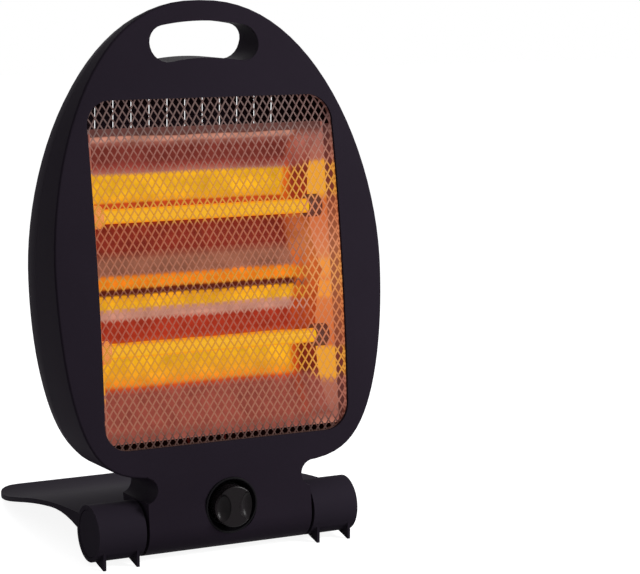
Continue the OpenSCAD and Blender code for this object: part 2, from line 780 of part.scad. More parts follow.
// a tube of n sides along a path, with its rings square to the path
function path_run(p, i) = p[min(i + 1, len(p) - 1)] - p[max(i - 1, 0)];
function unit(v) = v / norm(v);
module tube_along(p, r, n, up) {
    m = len(p);
    pts = [for (i = [0 : m - 1]) let (t = unit(path_run(p, i)),
            side = unit(cross(t, up)), top = cross(side, t))
           for (k = [0 : n - 1]) p[i] + r * (side * cos(360 * k / n) + top * sin(360 * k / n))];
    sides = [for (i = [0 : m - 2], k = [0 : n - 1])
        let (a = i * n + k, b = i * n + (k + 1) % n)
        each [[a, a + n, b + n], [a, b + n, b]]];
    polyhedron(points = pts, faces = concat([[for (k = [0 : n - 1]) k]], sides,
        [[for (k = [n - 1 : -1 : 0]) (m - 1) * n + k]]));
}

module heating_coil(z) color("#ff9a2e") tube_at(z)
    tube_along(coil_path, wire_d / 2, coil_sides, [1, 0.02, 0.013]);

// least gap between neighbouring curls, measured on the coil's own points
coil_gap = min([for (i = [0 : coil_steps - coil_rings], k = [-1, 0, 1])
    norm(coil_point(i + coil_rings + k) - coil_point(i))]) - wire_d;
echo(coil_gap = coil_gap);

cap_len = 14;
cap_cover = 6;                 // how far a cap reaches over its tube

module ceramic_caps(s) color(ceramic) for (z = [tube_low, tube_high])
    tube_at(z) mirror([s > 0 ? 0 : 1, 0, 0]) difference() {
        x_rod(ceramic_r, tube_len / 2 - cap_cover, tube_len / 2 - cap_cover + cap_len);
        x_rod(tube_d / 2 + snug, 0, tube_len / 2 + snug);
    }

module tube_bracket(s) color(steel) in_window() mirror([s > 0 ? 0 : 1, 0, 0]) {
    x = tube_len / 2 - cap_cover + cap_len + 0.05;
    difference() {
        translate([x, tube_depth - 6, tube_low - 12]) cube([0.8, 12, tube_high - tube_low + 24]);
        for (z = [tube_low, tube_high]) translate([0, tube_depth, z]) x_rod(3, x - 1, x + 2);
    }
    for (z = [tube_low - 12, (tube_low + tube_high) / 2, tube_high + 11.2])
        translate([reflector_w / 2 + sheet + 0.1, tube_depth - 6, z])
            cube([x - reflector_w / 2 - sheet - 0.1 + 0.4, 12, 0.8]);
}

module thermal_cutout() color("#3a3a3a") in_window() translate([0, trough_depth + sheet + 0.1, 60]) {
    translate([-11, 0, -6]) cube([22, 1, 12]);
    y_rod(5.5, 0.5, 8);
}

// --------------------------------------------------- switches and terminals

gland_z = 66;
gland_r = 7;
gland_out = back_y(0, gland_z) + 0.5;      // its flat seat, outside
gland_in = gland_out - wall - 5;           // and inside, clear of the curved wall

module cord_gland() color(rubber) at_axis() translate([0, 0, gland_z]) difference() {
    union() {
        y_rod(gland_r - snug, gland_in - 2, gland_out + 2);
        y_rod(gland_r + 2, gland_out + snug, gland_out + 3);
        y_rod(gland_r + 2, gland_in - 3, gland_in - snug);
    }
    y_rod(3.6, 0, 2 * back_reach);
}

module terminal_block() color("#e9e6da") at_axis()
    translate([0, block_y - 6, block_z]) terminal_body();

module terminal_body() difference() {
    translate([-24, 0, -9]) cube([48, 12, 18]);
    for (x = [-16, 0, 16], z = [-5, 5]) translate([x, -1, z]) y_rod(2.2, 0, 7);
}

module tip_over_switch() color("#2f3b52") at_axis() translate([36, 0, 4]) {
    translate([-9, -8, -8]) cube([18, 15, 20]);
    for (x = [-5, 3]) translate([x, -1, 12]) cube([2.4, 0.8, 6]);
}

dish_front = face_reach + 1.2; // the dish's rim stands just proud of the hub
dish_depth = 9;
dish_wall = 2;
dish_lip = 1.5;
switch_front = -dish_front + dish_depth + dish_wall + 0.05;

module knob_dish() color(knob_plastic) at_axis() translate([0, 0, knob_z]) difference() {
    union() {
        y_rod(dish_r, -dish_front, -dish_front + dish_lip);
        translate([0, -dish_front + dish_lip / 2, 0]) rotate([-90, 0, 0])
            cylinder(h = dish_depth + dish_wall - dish_lip / 2, r1 = dish_r - 1, r2 = dish_r - 2.6);
    }
    translate([0, -dish_front - 0.01, 0]) rotate([-90, 0, 0])
        cylinder(h = dish_depth, r1 = dish_r - 1.4, r2 = dish_r - 4.4);
    y_rod(shaft_r + 0.4, -dish_front, 10);
}

module rotary_switch() color("#dedad0") at_axis() translate([0, 0, knob_z]) difference() {
    union() {
        translate([-14, switch_front, -14]) cube([28, 13, 26]);
        for (x = [-9, -3, 3, 9]) translate([x - 1.2, switch_front + 12.5, -4]) cube([2.4, 5, 0.8]);
    }
    y_rod(shaft_r + pivot_play, switch_front - 1, switch_front + 9);
}

module switch_shaft() color(steel) at_axis() translate([0, 0, knob_z]) difference() {
    y_rod(shaft_r, -knob_reach + 5, switch_front + 8.7);
    translate([-shaft_r, -knob_reach, shaft_r * 0.55]) cube([2 * shaft_r, 12, shaft_r]);
}

grip_bar = 5;                  // width of the knob's finger bar
knob_back = -dish_front + dish_depth - 0.8;

module knob() color(knob_plastic) at_axis() translate([0, 0, knob_z]) difference() {
    union() {
        y_rod(knob_d / 2, -knob_reach + 5, knob_back);
        intersection() {
            y_rod(knob_d / 2, -knob_reach, -knob_reach + 6);
            translate([0, knob_d - knob_reach - 1.6, 0]) sphere(r = knob_d + 1.6, $fn = fine);
        }
    }
    // a scoop for a finger on each side of the bar
    for (s = [-1, 1]) translate([s * (grip_bar / 2 + 7.2), -knob_reach - 3.4, 0])
        scale([0.8, 0.9, 1.2]) sphere(r = 9, $fn = fine / 2);
    // the shaft's bore, with its flat
    difference() {
        y_rod(shaft_r + 0.02, -knob_reach + 5 - 0.05, 10);
        translate([-shaft_r, -knob_reach, shaft_r * 0.55 + 0.02]) cube([2 * shaft_r, 12, shaft_r]);
    }
}

cap_y = face_y(window_z) + tube_depth * cos(window_lean);
cap_z = window_z - tube_depth * sin(window_lean);
function cap_end(z) = [tube_len / 2 - cap_cover + cap_len + 0.2,
                       cap_y + z * sin(window_lean), cap_z + z * cos(window_lean)];
lead_low = cap_end(tube_low);
lead_x = post_x - 4.5;
lead_high = cap_end(tube_high);
block_z = chin_z + 92;
block_y = back_y(24, block_z - 9) - wall - 6.2;   // middle of the terminal block

module lead(path) tube_along(path, 1.2, 6, [0.23, 0.37, 0.11]);

module lead_wires() color("#7d2a22") at_axis() for (s = [0, 1]) mirror([s, 0, 0]) {
    // from the switch up to the terminal block
    lead([[9, 10.6, 10], [9, 13, 16], [9, 14, 24], [10, 14, 34], [12, 17, 44], [15, 23, 56],
          [16, 30, 74], [16, block_y, 96], [16, block_y, block_z - 15],
          [16, block_y, block_z - 9.2]]);
    // and from there to the ends of the tubes
    lead([[24.2, block_y, block_z - 2], [30, block_y, block_z - 2], [58, block_y, 124],
          [lead_x - 14, block_y, 122], [lead_x - 4, block_y - 8, 121], [lead_x, 26, 121],
          [lead_x, lead_low.y + 5, lead_low.z], [lead_low.x + 2, lead_low.y, lead_low.z],
          lead_low]);
    lead([[24.2, block_y, block_z + 4], [30, block_y, block_z + 4], [58, block_y + 1, 165],
          [lead_x - 14, block_y, 200], [lead_x - 5, block_y - 4, 207], [lead_x, 33, 212],
          [lead_x, lead_high.y + 4, lead_high.z], [lead_high.x + 2, lead_high.y, lead_high.z],
          lead_high]);
}

stand();
knuckle_cap(-1);  // knuckle_cap_left
knuckle_cap(1);  // knuckle_cap_right
foot_pads();
pivot_bolt(-1);  // pivot_bolt_left
pivot_bolt(1);  // pivot_bolt_right
pivot_springs();
pivot_nuts();
hinge_bush(-1);  // hinge_bush_left
hinge_bush(1);  // hinge_bush_right
front_shell();
back_shell();
shell_screws();
guard_mesh();
guard_rim();
reflector();
reflector_end(-1);  // reflector_end_left
reflector_end(1);  // reflector_end_right
reflector_screws();
quartz_tube(tube_high);  // quartz_tube_upper
quartz_tube(tube_low);  // quartz_tube_lower
heating_coil(tube_high);  // heating_coil_upper
heating_coil(tube_low);  // heating_coil_lower
ceramic_caps(-1);  // ceramic_caps_left
ceramic_caps(1);  // ceramic_caps_right
tube_bracket(-1);  // tube_bracket_left
tube_bracket(1);  // tube_bracket_right
thermal_cutout();
terminal_block();
tip_over_switch();
rotary_switch();
switch_shaft();
knob_dish();
knob();
cord_gland();
lead_wires();
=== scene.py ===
import math

import bmesh
import bpy
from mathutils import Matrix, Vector


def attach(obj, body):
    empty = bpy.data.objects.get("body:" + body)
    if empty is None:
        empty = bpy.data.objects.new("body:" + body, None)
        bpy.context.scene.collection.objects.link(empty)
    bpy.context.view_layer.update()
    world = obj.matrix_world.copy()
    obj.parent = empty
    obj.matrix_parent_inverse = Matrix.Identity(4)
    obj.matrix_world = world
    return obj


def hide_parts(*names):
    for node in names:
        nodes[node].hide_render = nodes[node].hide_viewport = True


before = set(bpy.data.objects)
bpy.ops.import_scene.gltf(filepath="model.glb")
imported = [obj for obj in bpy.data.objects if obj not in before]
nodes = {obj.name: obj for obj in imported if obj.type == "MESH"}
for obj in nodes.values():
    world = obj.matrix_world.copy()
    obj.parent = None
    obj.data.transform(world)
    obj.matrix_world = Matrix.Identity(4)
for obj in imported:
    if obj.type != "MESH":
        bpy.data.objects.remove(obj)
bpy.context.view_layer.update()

# The camera stands to the heater's left and a little above it, 1.66 m away,
# with a long lens, as the photograph was taken.
look_at = Vector((0.0755, -0.11125, 0.1806))
turn, tilt = math.radians(-28.593), math.radians(8.032)
distance = 1.6566
camera = bpy.data.objects.new("camera", bpy.data.cameras.new("camera"))
camera.data.sensor_width = 36
camera.data.lens = 133.3
camera.data.clip_start = 0.1
camera.rotation_euler = (math.radians(90) - tilt, 0, turn)
camera.location = look_at + distance * Vector((
    math.sin(turn) * math.cos(tilt), -math.cos(turn) * math.cos(tilt), math.sin(tilt)))
bpy.context.scene.collection.objects.link(camera)
bpy.context.scene.camera = camera
bpy.context.scene.view_settings.view_transform = "Standard"


# The studio: a pale paper floor that runs out of sight into a white world. Both
# are white where the camera, a gloss or a clear part sees them, and the floor
# keeps the heater's soft shadow.
def new_material(name):
    material = bpy.data.materials.new(name)
    material.use_nodes = True
    tree = material.node_tree
    tree.nodes.clear()
    return material, tree, tree.nodes.new("ShaderNodeOutputMaterial")


def seen_directly(tree):
    rays = tree.nodes.new("ShaderNodeLightPath")
    first = tree.nodes.new("ShaderNodeMath")
    first.operation = "MAXIMUM"
    tree.links.new(rays.outputs["Is Camera Ray"], first.inputs[0])
    tree.links.new(rays.outputs["Is Glossy Ray"], first.inputs[1])
    either = tree.nodes.new("ShaderNodeMath")
    either.operation = "MAXIMUM"
    tree.links.new(first.outputs[0], either.inputs[0])
    tree.links.new(rays.outputs["Is Transmission Ray"], either.inputs[1])
    return either.outputs[0]


floor_mesh = bmesh.new()
bmesh.ops.create_grid(floor_mesh, x_segments=1, y_segments=1, size=6.0)
floor_data = bpy.data.meshes.new("floor")
floor_mesh.to_mesh(floor_data)
floor_mesh.free()
floor = bpy.data.objects.new("floor", floor_data)
bpy.context.scene.collection.objects.link(floor)

floor_paper, tree, out = new_material("floor_paper")
paper = tree.nodes.new("ShaderNodeBsdfDiffuse")
paper.inputs["Color"].default_value = (0.42, 0.42, 0.43, 1)
shown = tree.nodes.new("ShaderNodeEmission")
paper_glow = 0.9
lift = tree.nodes.new("ShaderNodeMath")
lift.operation = "MULTIPLY"
lift.inputs[1].default_value = paper_glow
tree.links.new(seen_directly(tree), lift.inputs[0])
tree.links.new(lift.outputs["Value"], shown.inputs["Strength"])
both = tree.nodes.new("ShaderNodeAddShader")
tree.links.new(paper.outputs["BSDF"], both.inputs[0])
tree.links.new(shown.outputs["Emission"], both.inputs[1])
tree.links.new(both.outputs["Shader"], out.inputs["Surface"])
floor_data.materials.append(floor_paper)

world = bpy.data.worlds.new("studio")
world.use_nodes = True
bpy.context.scene.world = world
tree = world.node_tree
tree.nodes.clear()
out = tree.nodes.new("ShaderNodeOutputWorld")
background = tree.nodes.new("ShaderNodeBackground")
background.inputs["Color"].default_value = (1, 1, 1, 1)
light_on_heater, seen_white = 0.35, 1.0
level = tree.nodes.new("ShaderNodeMapRange")
level.inputs["To Min"].default_value = light_on_heater
level.inputs["To Max"].default_value = seen_white
tree.links.new(seen_directly(tree), level.inputs["Value"])
tree.links.new(level.outputs["Result"], background.inputs["Strength"])
tree.links.new(background.outputs["Background"], out.inputs["Surface"])

heater_middle = Vector((0, -0.05, 0.18))
for name, place, size, power in (
    ("key_light", (0.9, -0.8, 0.6), 0.5, 17),
    ("fill_light", (-1.0, -1.7, 1.2), 1.2, 1.6),
    ("back_light", (0.3, 1.3, 1.2), 1.0, 6),
):
    lamp = bpy.data.lights.new(name, "AREA")
    lamp.size = size
    lamp.energy = power
    lamp_object = bpy.data.objects.new(name, lamp)
    lamp_object.location = place
    aim = heater_middle - Vector(place)
    lamp_object.rotation_euler = aim.to_track_quat("-Z", "Y").to_euler()
    bpy.context.scene.collection.objects.link(lamp_object)


# The front shell of the head: one dark charcoal moulding with a faintly curved
# face, the window, the grip slot and the front of the hub. The mould gives it
# a very fine grain, a satin sheen and small rounds along its edges.
def softened(node, body, material, width=0.0005, sharp=50):
    same_point, flat_angle, smooth_angle = 0.000004, math.radians(0.3), math.radians(48)
    piece = bmesh.new()
    piece.from_mesh(nodes[node].data)
    bmesh.ops.remove_doubles(piece, verts=piece.verts, dist=same_point)
    bmesh.ops.dissolve_limit(piece, angle_limit=flat_angle, verts=piece.verts,
                             edges=piece.edges)
    corners = [e for e in piece.edges
               if len(e.link_faces) == 2 and e.calc_face_angle() > math.radians(sharp)]
    if width:
        bmesh.ops.bevel(piece, geom=corners, affect="EDGES", offset=width,
                        offset_type="OFFSET", segments=2, profile=0.5, material=-1,
                        clamp_overlap=True)
    for f in piece.faces:
        f.smooth = True
    for e in piece.edges:
        e.smooth = len(e.link_faces) == 2 and e.calc_face_angle() < smooth_angle
    data = bpy.data.meshes.new(node + "_moulding")
    piece.to_mesh(data)
    piece.free()
    data.materials.append(material)
    look = bpy.data.objects.new(node + "_moulding", data)
    bpy.context.scene.collection.objects.link(look)
    even = look.modifiers.new("even_shading", "WEIGHTED_NORMAL")
    even.keep_sharp = True
    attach(look, body)
    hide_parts(node)
    return look


def principled(name):
    material, tree, out = new_material(name)
    shader = tree.nodes.new("ShaderNodeBsdfPrincipled")
    tree.links.new(shader.outputs["BSDF"], out.inputs["Surface"])
    return material, tree, shader


def grain_group():
    grain_height, darkest, lightest, uneven_shine = 0.0001, 0.86, 1.16, 0.12
    group = bpy.data.node_groups.new("mould_grain", "ShaderNodeTree")
    face = group.interface
    face.new_socket("Colour", in_out="INPUT", socket_type="NodeSocketColor")
    face.new_socket("Roughness", in_out="INPUT", socket_type="NodeSocketFloat")
    face.new_socket("Grain Size", in_out="INPUT", socket_type="NodeSocketFloat")
    face.new_socket("Depth", in_out="INPUT", socket_type="NodeSocketFloat")
    face.new_socket("Colour", in_out="OUTPUT", socket_type="NodeSocketColor")
    face.new_socket("Roughness", in_out="OUTPUT", socket_type="NodeSocketFloat")
    face.new_socket("Normal", in_out="OUTPUT", socket_type="NodeSocketVector")
    add = group.nodes.new
    link = group.links.new
    given = add("NodeGroupInput")
    result = add("NodeGroupOutput")
    place = add("ShaderNodeTexCoord")
    fine = add("ShaderNodeTexNoise")
    fine.inputs["Detail"].default_value = 3
    link(place.outputs["Object"], fine.inputs["Vector"])
    link(given.outputs["Grain Size"], fine.inputs["Scale"])
    broad = add("ShaderNodeTexNoise")
    broad.inputs["Scale"].default_value = 14
    broad.inputs["Detail"].default_value = 4
    link(place.outputs["Object"], broad.inputs["Vector"])
    bump = add("ShaderNodeBump")
    bump.inputs["Distance"].default_value = grain_height
    link(given.outputs["Depth"], bump.inputs["Strength"])
    link(fine.outputs["Fac"], bump.inputs["Height"])
    shade = add("ShaderNodeMapRange")
    shade.inputs["To Min"].default_value = darkest
    shade.inputs["To Max"].default_value = lightest
    link(broad.outputs["Fac"], shade.inputs["Value"])
    tint = add("ShaderNodeMix")
    tint.data_type = "RGBA"
    tint.blend_type = "MULTIPLY"
    tint.inputs["Factor"].default_value = 1
    link(given.outputs["Colour"], tint.inputs["A"])
    link(shade.outputs["Result"], tint.inputs["B"])
    rub = add("ShaderNodeMath")
    rub.operation = "MULTIPLY_ADD"
    rub.inputs[1].default_value = uneven_shine
    link(broad.outputs["Fac"], rub.inputs[0])
    link(given.outputs["Roughness"], rub.inputs[2])
    link(tint.outputs["Result"], result.inputs["Colour"])
    link(rub.outputs["Value"], result.inputs["Roughness"])
    link(bump.outputs["Normal"], result.inputs["Normal"])
    return group


mould_grain = grain_group()


def moulded(name, colour, roughness, grain_size, depth, gloss=0.5):
    material, tree, shader = principled(name)
    grain = tree.nodes.new("ShaderNodeGroup")
    grain.node_tree = mould_grain
    grain.inputs["Colour"].default_value = (*colour, 1)
    grain.inputs["Roughness"].default_value = roughness
    grain.inputs["Grain Size"].default_value = grain_size
    grain.inputs["Depth"].default_value = depth
    shader.inputs["Specular IOR Level"].default_value = gloss
    tree.links.new(grain.outputs["Colour"], shader.inputs["Base Color"])
    tree.links.new(grain.outputs["Roughness"], shader.inputs["Roughness"])
    tree.links.new(grain.outputs["Normal"], shader.inputs["Normal"])
    return material


shell_plastic = moulded("charcoal_shell", (0.016, 0.012, 0.0183), roughness=0.5,
                        grain_size=1500, depth=0.3, gloss=0.008)
softened("front_shell", "head", shell_plastic, width=0.0008)

# The back shell, of the same plastic: a dome with two rows of vents and the
# wall of the grip slot, screwed to the front shell from behind. The vents narrow
# towards the inside, so that no finger or tool reaches in.
back_look = softened("back_shell", "head", shell_plastic, width=0.0006)
vent_pitch = 0.0136
vent_half_width = 0.0027
inner_share = 0.14
upper_row = {"bottom": 0.286, "top": 0.322, "half_length": 0.072}
lower_row = {"bottom": 0.105, "top": 0.133, "half_length": 0.045}
facing_in = -0.5


def in_row(point, row):
    return row["bottom"] < point.z < row["top"] and abs(point.x) < row["half_length"]


tapered = bmesh.new()
tapered.from_mesh(back_look.data)
for v in tapered.verts:
    middle = round(v.co.x / vent_pitch) * vent_pitch
    if ((in_row(v.co, upper_row) or in_row(v.co, lower_row))
            and abs(v.co.x - middle) < vent_half_width
            and min(f.normal.y for f in v.link_faces) < facing_in):
        v.co.x = middle + (v.co.x - middle) * inner_share
tapered.to_mesh(back_look.data)
tapered.free()


# The eight screws that hold the shells together sit deep in their wells. They
# are zinc-plated, with a slightly uneven shine.
def finish_with(material, *names):
    for name in names:
        data = nodes[name].data
        data.materials.clear()
        data.materials.append(material)


def streak_group():
    smoothest, roughest, darkest = 0.8, 1.3, 0.82
    group = bpy.data.node_groups.new("rolled_streaks", "ShaderNodeTree")
    face = group.interface
    face.new_socket("Colour", in_out="INPUT", socket_type="NodeSocketColor")
    face.new_socket("Roughness", in_out="INPUT", socket_type="NodeSocketFloat")
    face.new_socket("Stretch", in_out="INPUT", socket_type="NodeSocketVector")
    face.new_socket("Colour", in_out="OUTPUT", socket_type="NodeSocketColor")
    face.new_socket("Roughness", in_out="OUTPUT", socket_type="NodeSocketFloat")
    add = group.nodes.new
    link = group.links.new
    given = add("NodeGroupInput")
    result = add("NodeGroupOutput")
    place = add("ShaderNodeTexCoord")
    spread = add("ShaderNodeMapping")
    link(place.outputs["Object"], spread.inputs["Vector"])
    link(given.outputs["Stretch"], spread.inputs["Scale"])
    streak = add("ShaderNodeTexNoise")
    streak.inputs["Scale"].default_value = 60
    streak.inputs["Detail"].default_value = 5
    link(spread.outputs["Vector"], streak.inputs["Vector"])
    rub = add("ShaderNodeMapRange")
    link(streak.outputs["Fac"], rub.inputs["Value"])
    for end, share in (("To Min", smoothest), ("To Max", roughest)):
        part = add("ShaderNodeMath")
        part.operation = "MULTIPLY"
        part.inputs[1].default_value = share
        link(given.outputs["Roughness"], part.inputs[0])
        link(part.outputs["Value"], rub.inputs[end])
    shade = add("ShaderNodeMapRange")
    shade.inputs["To Min"].default_value = darkest
    link(streak.outputs["Fac"], shade.inputs["Value"])
    tint = add("ShaderNodeMix")
    tint.data_type = "RGBA"
    tint.blend_type = "MULTIPLY"
    tint.inputs["Factor"].default_value = 1
    link(given.outputs["Colour"], tint.inputs["A"])
    link(shade.outputs["Result"], tint.inputs["B"])
    link(tint.outputs["Result"], result.inputs["Colour"])
    link(rub.outputs["Result"], result.inputs["Roughness"])
    return group


rolled_streaks = streak_group()


def metal(name, colour, roughness, stretch=(1, 1, 1), metallic=1, gloss=0.5):
    material, tree, shader = principled(name)
    streaks = tree.nodes.new("ShaderNodeGroup")
    streaks.node_tree = rolled_streaks
    streaks.inputs["Colour"].default_value = (*colour, 1)
    streaks.inputs["Roughness"].default_value = roughness
    streaks.inputs["Stretch"].default_value = stretch
    shader.inputs["Metallic"].default_value = metallic
    shader.inputs["Specular IOR Level"].default_value = gloss
    tree.links.new(streaks.outputs["Colour"], shader.inputs["Base Color"])
    tree.links.new(streaks.outputs["Roughness"], shader.inputs["Roughness"])
    return material, tree, shader


zinc_steel = metal("zinc_steel", (0.6, 0.6, 0.62), roughness=0.3)[0]
finish_with(zinc_steel, "shell_screws")

# The reflector: one bright aluminium sheet bent into two troughs, and an end
# plate on each side. The tubes' reflections in it are painted into its emission
# as long yellow and orange bands between painted bands of dull red, which fade
# out near the ends.
def window_place(tree):
    # the point in mm from the middle of the window's lower edge, measured along the
    # leaning window, then its parts across and up
    window_foot, window_lean, mm = (0, -0.12145, 0.0804), math.radians(-6.83), 0.001
    origin = tree.nodes.new("ShaderNodeTexCoord")
    upright = tree.nodes.new("ShaderNodeMapping")
    upright.vector_type = "TEXTURE"
    upright.inputs["Location"].default_value = window_foot
    upright.inputs["Rotation"].default_value = (window_lean, 0, 0)
    upright.inputs["Scale"].default_value = (mm, mm, mm)
    tree.links.new(origin.outputs["Object"], upright.inputs["Vector"])
    parts = tree.nodes.new("ShaderNodeSeparateXYZ")
    tree.links.new(upright.outputs["Vector"], parts.inputs["Vector"])
    return upright.outputs["Vector"], parts.outputs["X"], parts.outputs["Z"]


def bands(tree, height, stops):
    # each stop is a height in mm and the colour there
    tallest = 220
    share = tree.nodes.new("ShaderNodeMapRange")
    share.inputs["From Max"].default_value = tallest
    tree.links.new(height, share.inputs["Value"])
    ramp = tree.nodes.new("ShaderNodeValToRGB")
    points = ramp.color_ramp.elements
    points[0].position, points[1].position = stops[0][0] / tallest, stops[-1][0] / tallest
    points[0].color, points[1].color = (*stops[0][1], 1), (*stops[-1][1], 1)
    for stop_height, colour in stops[1:-1]:
        points.new(stop_height / tallest).color = (*colour, 1)
    tree.links.new(share.outputs["Result"], ramp.inputs["Fac"])
    return ramp.outputs["Color"]


def between(tree, value, low, high):
    step = tree.nodes.new("ShaderNodeMapRange")
    step.interpolation_type = "SMOOTHSTEP"
    step.inputs["From Min"].default_value = low
    step.inputs["From Max"].default_value = high
    tree.links.new(value, step.inputs["Value"])
    return step.outputs["Result"]


def blended(tree, share, a, b):
    mix = tree.nodes.new("ShaderNodeMix")
    mix.data_type = "RGBA"
    tree.links.new(share, mix.inputs["Factor"])
    tree.links.new(a, mix.inputs["A"])
    tree.links.new(b, mix.inputs["B"])
    return mix.outputs["Result"]


def reflection_waver_group():
    # the height, moved down a little and unevenly, so that the painted reflection bands
    # waver as if the sheet had soft dents; the sheet itself is not dented
    group = bpy.data.node_groups.new("painted_reflection_waver", "ShaderNodeTree")
    face = group.interface
    face.new_socket("Place", in_out="INPUT", socket_type="NodeSocketVector")
    face.new_socket("Height", in_out="INPUT", socket_type="NodeSocketFloat")
    face.new_socket("Depth", in_out="INPUT", socket_type="NodeSocketFloat")
    face.new_socket("Waver Scale", in_out="INPUT", socket_type="NodeSocketFloat")
    face.new_socket("Height", in_out="OUTPUT", socket_type="NodeSocketFloat")
    given = group.nodes.new("NodeGroupInput")
    result = group.nodes.new("NodeGroupOutput")
    waver_noise = group.nodes.new("ShaderNodeTexNoise")
    waver_noise.inputs["Detail"].default_value = 2
    move = group.nodes.new("ShaderNodeMath")
    move.operation = "MULTIPLY_ADD"
    group.links.new(given.outputs["Place"], waver_noise.inputs["Vector"])
    group.links.new(given.outputs["Waver Scale"], waver_noise.inputs["Scale"])
    group.links.new(waver_noise.outputs["Fac"], move.inputs[0])
    group.links.new(given.outputs["Depth"], move.inputs[1])
    group.links.new(given.outputs["Height"], move.inputs[2])
    group.links.new(move.outputs["Value"], result.inputs["Height"])
    return group


painted_reflection_waver = reflection_waver_group()


# shifts the height at which the painted reflection bands are read
def wavered(tree, place, height, depth, waver_scale):
    dented = tree.nodes.new("ShaderNodeGroup")
    dented.node_tree = painted_reflection_waver
    dented.inputs["Depth"].default_value = depth
    dented.inputs["Waver Scale"].default_value = waver_scale
    tree.links.new(place, dented.inputs["Place"])
    tree.links.new(height, dented.inputs["Height"])
    return dented.outputs["Height"]


yellow = (0.86, 0.42, 0.012)
deep_yellow = (0.84, 0.33, 0.01)
orange = (0.83, 0.2, 0.01)
ember = (0.5, 0.05, 0.008)
red = (0.36, 0.026, 0.01)
dull_red = (0.2, 0.016, 0.008)
mottled = (0.16, 0.026, 0.02)
mauve = (0.28, 0.1, 0.06)
rose = (0.55, 0.24, 0.17)
brown = (0.1, 0.035, 0.03)
# colours of the painted reflections and painted glow on the reflector, by height in mm
lower_trough = [
    (0, rose), (4, (0.25, 0.07, 0.052)), (12, (0.27, 0.06, 0.043)),
    (35, (0.27, 0.052, 0.035)), (38.5, ember), (41, orange), (47, deep_yellow),
    (58, yellow), (69.5, yellow), (70.5, ember), (74, red), (85, red), (87.5, rose),
    (93, rose), (94.5, yellow), (102.5, deep_yellow), (103.5, (0.08, 0.008, 0.004)),
    (106.8, (0.1, 0.01, 0.005)), (108.6, orange), (115.5, orange), (117.5, mauve),
    (126, mauve)]
upper_trough = [
    (115.5, orange), (117.5, mauve), (126, mauve), (133, dull_red), (150, dull_red),
    (158, ember), (165.2, ember), (166.8, deep_yellow), (172, yellow), (184.5, yellow),
    (186.5, (0.42, 0.13, 0.09)), (190, (0.26, 0.04, 0.03)), (194, mottled),
    (203, mottled), (206.5, (0.3, 0.1, 0.075)), (207.6, rose), (209.6, rose),
    (210.3, brown), (213, brown)]
edge_bands = [
    (0, rose), (10, (0.32, 0.06, 0.04)), (36, (0.36, 0.05, 0.02)), (43, (0.62, 0.07, 0.01)),
    (66, (0.66, 0.1, 0.01)), (74, (0.45, 0.04, 0.01)), (90, (0.5, 0.06, 0.012)),
    (100, (0.68, 0.13, 0.015)), (118, (0.66, 0.12, 0.02)), (130, (0.5, 0.13, 0.035)),
    (150, (0.4, 0.06, 0.015)), (164, (0.66, 0.1, 0.01)), (182, (0.66, 0.11, 0.012)),
    (189, (0.4, 0.07, 0.04)), (205, (0.34, 0.08, 0.05)), (212, brown)]
corner_bands = [
    (0, rose), (10, (0.32, 0.08, 0.055)), (36, (0.28, 0.06, 0.045)),
    (42, (0.15, 0.016, 0.008)), (58, (0.2, 0.02, 0.008)), (66, (0.34, 0.04, 0.01)),
    (85, (0.42, 0.055, 0.012)), (100, (0.5, 0.08, 0.015)), (118, (0.58, 0.12, 0.025)),
    (132, (0.58, 0.17, 0.05)), (150, (0.4, 0.08, 0.02)), (164, (0.32, 0.03, 0.01)),
    (182, (0.2, 0.025, 0.012)), (189, (0.26, 0.05, 0.035)), (205, (0.38, 0.12, 0.09)),
    (212, brown)]
# colours of the painted light on the end plates and of the dimmer painted light and shade
# on their flanges, by height in mm
plate_bands = [
    (0, (0.3, 0.1, 0.08)), (30, (0.4, 0.13, 0.08)), (36, (0.82, 0.34, 0.03)),
    (56, (0.83, 0.35, 0.03)), (58, (0.62, 0.14, 0.04)), (90, (0.68, 0.18, 0.05)),
    (93, (0.85, 0.3, 0.04)), (102, (0.85, 0.28, 0.04)), (104, (0.7, 0.19, 0.06)),
    (108, (0.85, 0.28, 0.05)), (117, (0.85, 0.3, 0.05)), (120, (0.66, 0.2, 0.08)),
    (140, (0.62, 0.16, 0.06)), (160, (0.6, 0.13, 0.03)), (166, (0.83, 0.36, 0.03)),
    (187, (0.82, 0.34, 0.03)), (190, (0.4, 0.12, 0.08)), (208, (0.36, 0.13, 0.1))]
flange_bands = [
    (0, (0.05, 0.018, 0.015)), (30, (0.12, 0.035, 0.028)), (50, (0.17, 0.035, 0.022)),
    (80, (0.28, 0.075, 0.035)), (110, (0.34, 0.1, 0.045)), (130, (0.34, 0.105, 0.048)),
    (155, (0.26, 0.065, 0.03)), (170, (0.18, 0.038, 0.024)), (190, (0.14, 0.032, 0.025)),
    (212, (0.07, 0.025, 0.022))]

# the reflector's own colour is kept dark; its look is the painted light in its emission
painted_reflector, tree, shader = metal("reflector_painted_reflections", (0.02, 0.01, 0.008), roughness=0.5,
                                   stretch=(0.2, 8, 8))
place, across, height = window_place(tree)
wavy = wavered(tree, place, height, depth=-2.4, waver_scale=0.02)
# painted reflections of both troughs, turning to painted glow near the ends and in the
# corners
troughs = blended(tree, between(tree, wavy, 121.5, 122), bands(tree, wavy, lower_trough),
                  bands(tree, wavy, upper_trough))
painted_glow_near_end = blended(tree, between(tree, across, 65, 70), troughs,
                   bands(tree, wavy, edge_bands))
even_glow = blended(tree, between(tree, across, 70, 76), painted_glow_near_end,
                    bands(tree, wavy, corner_bands))
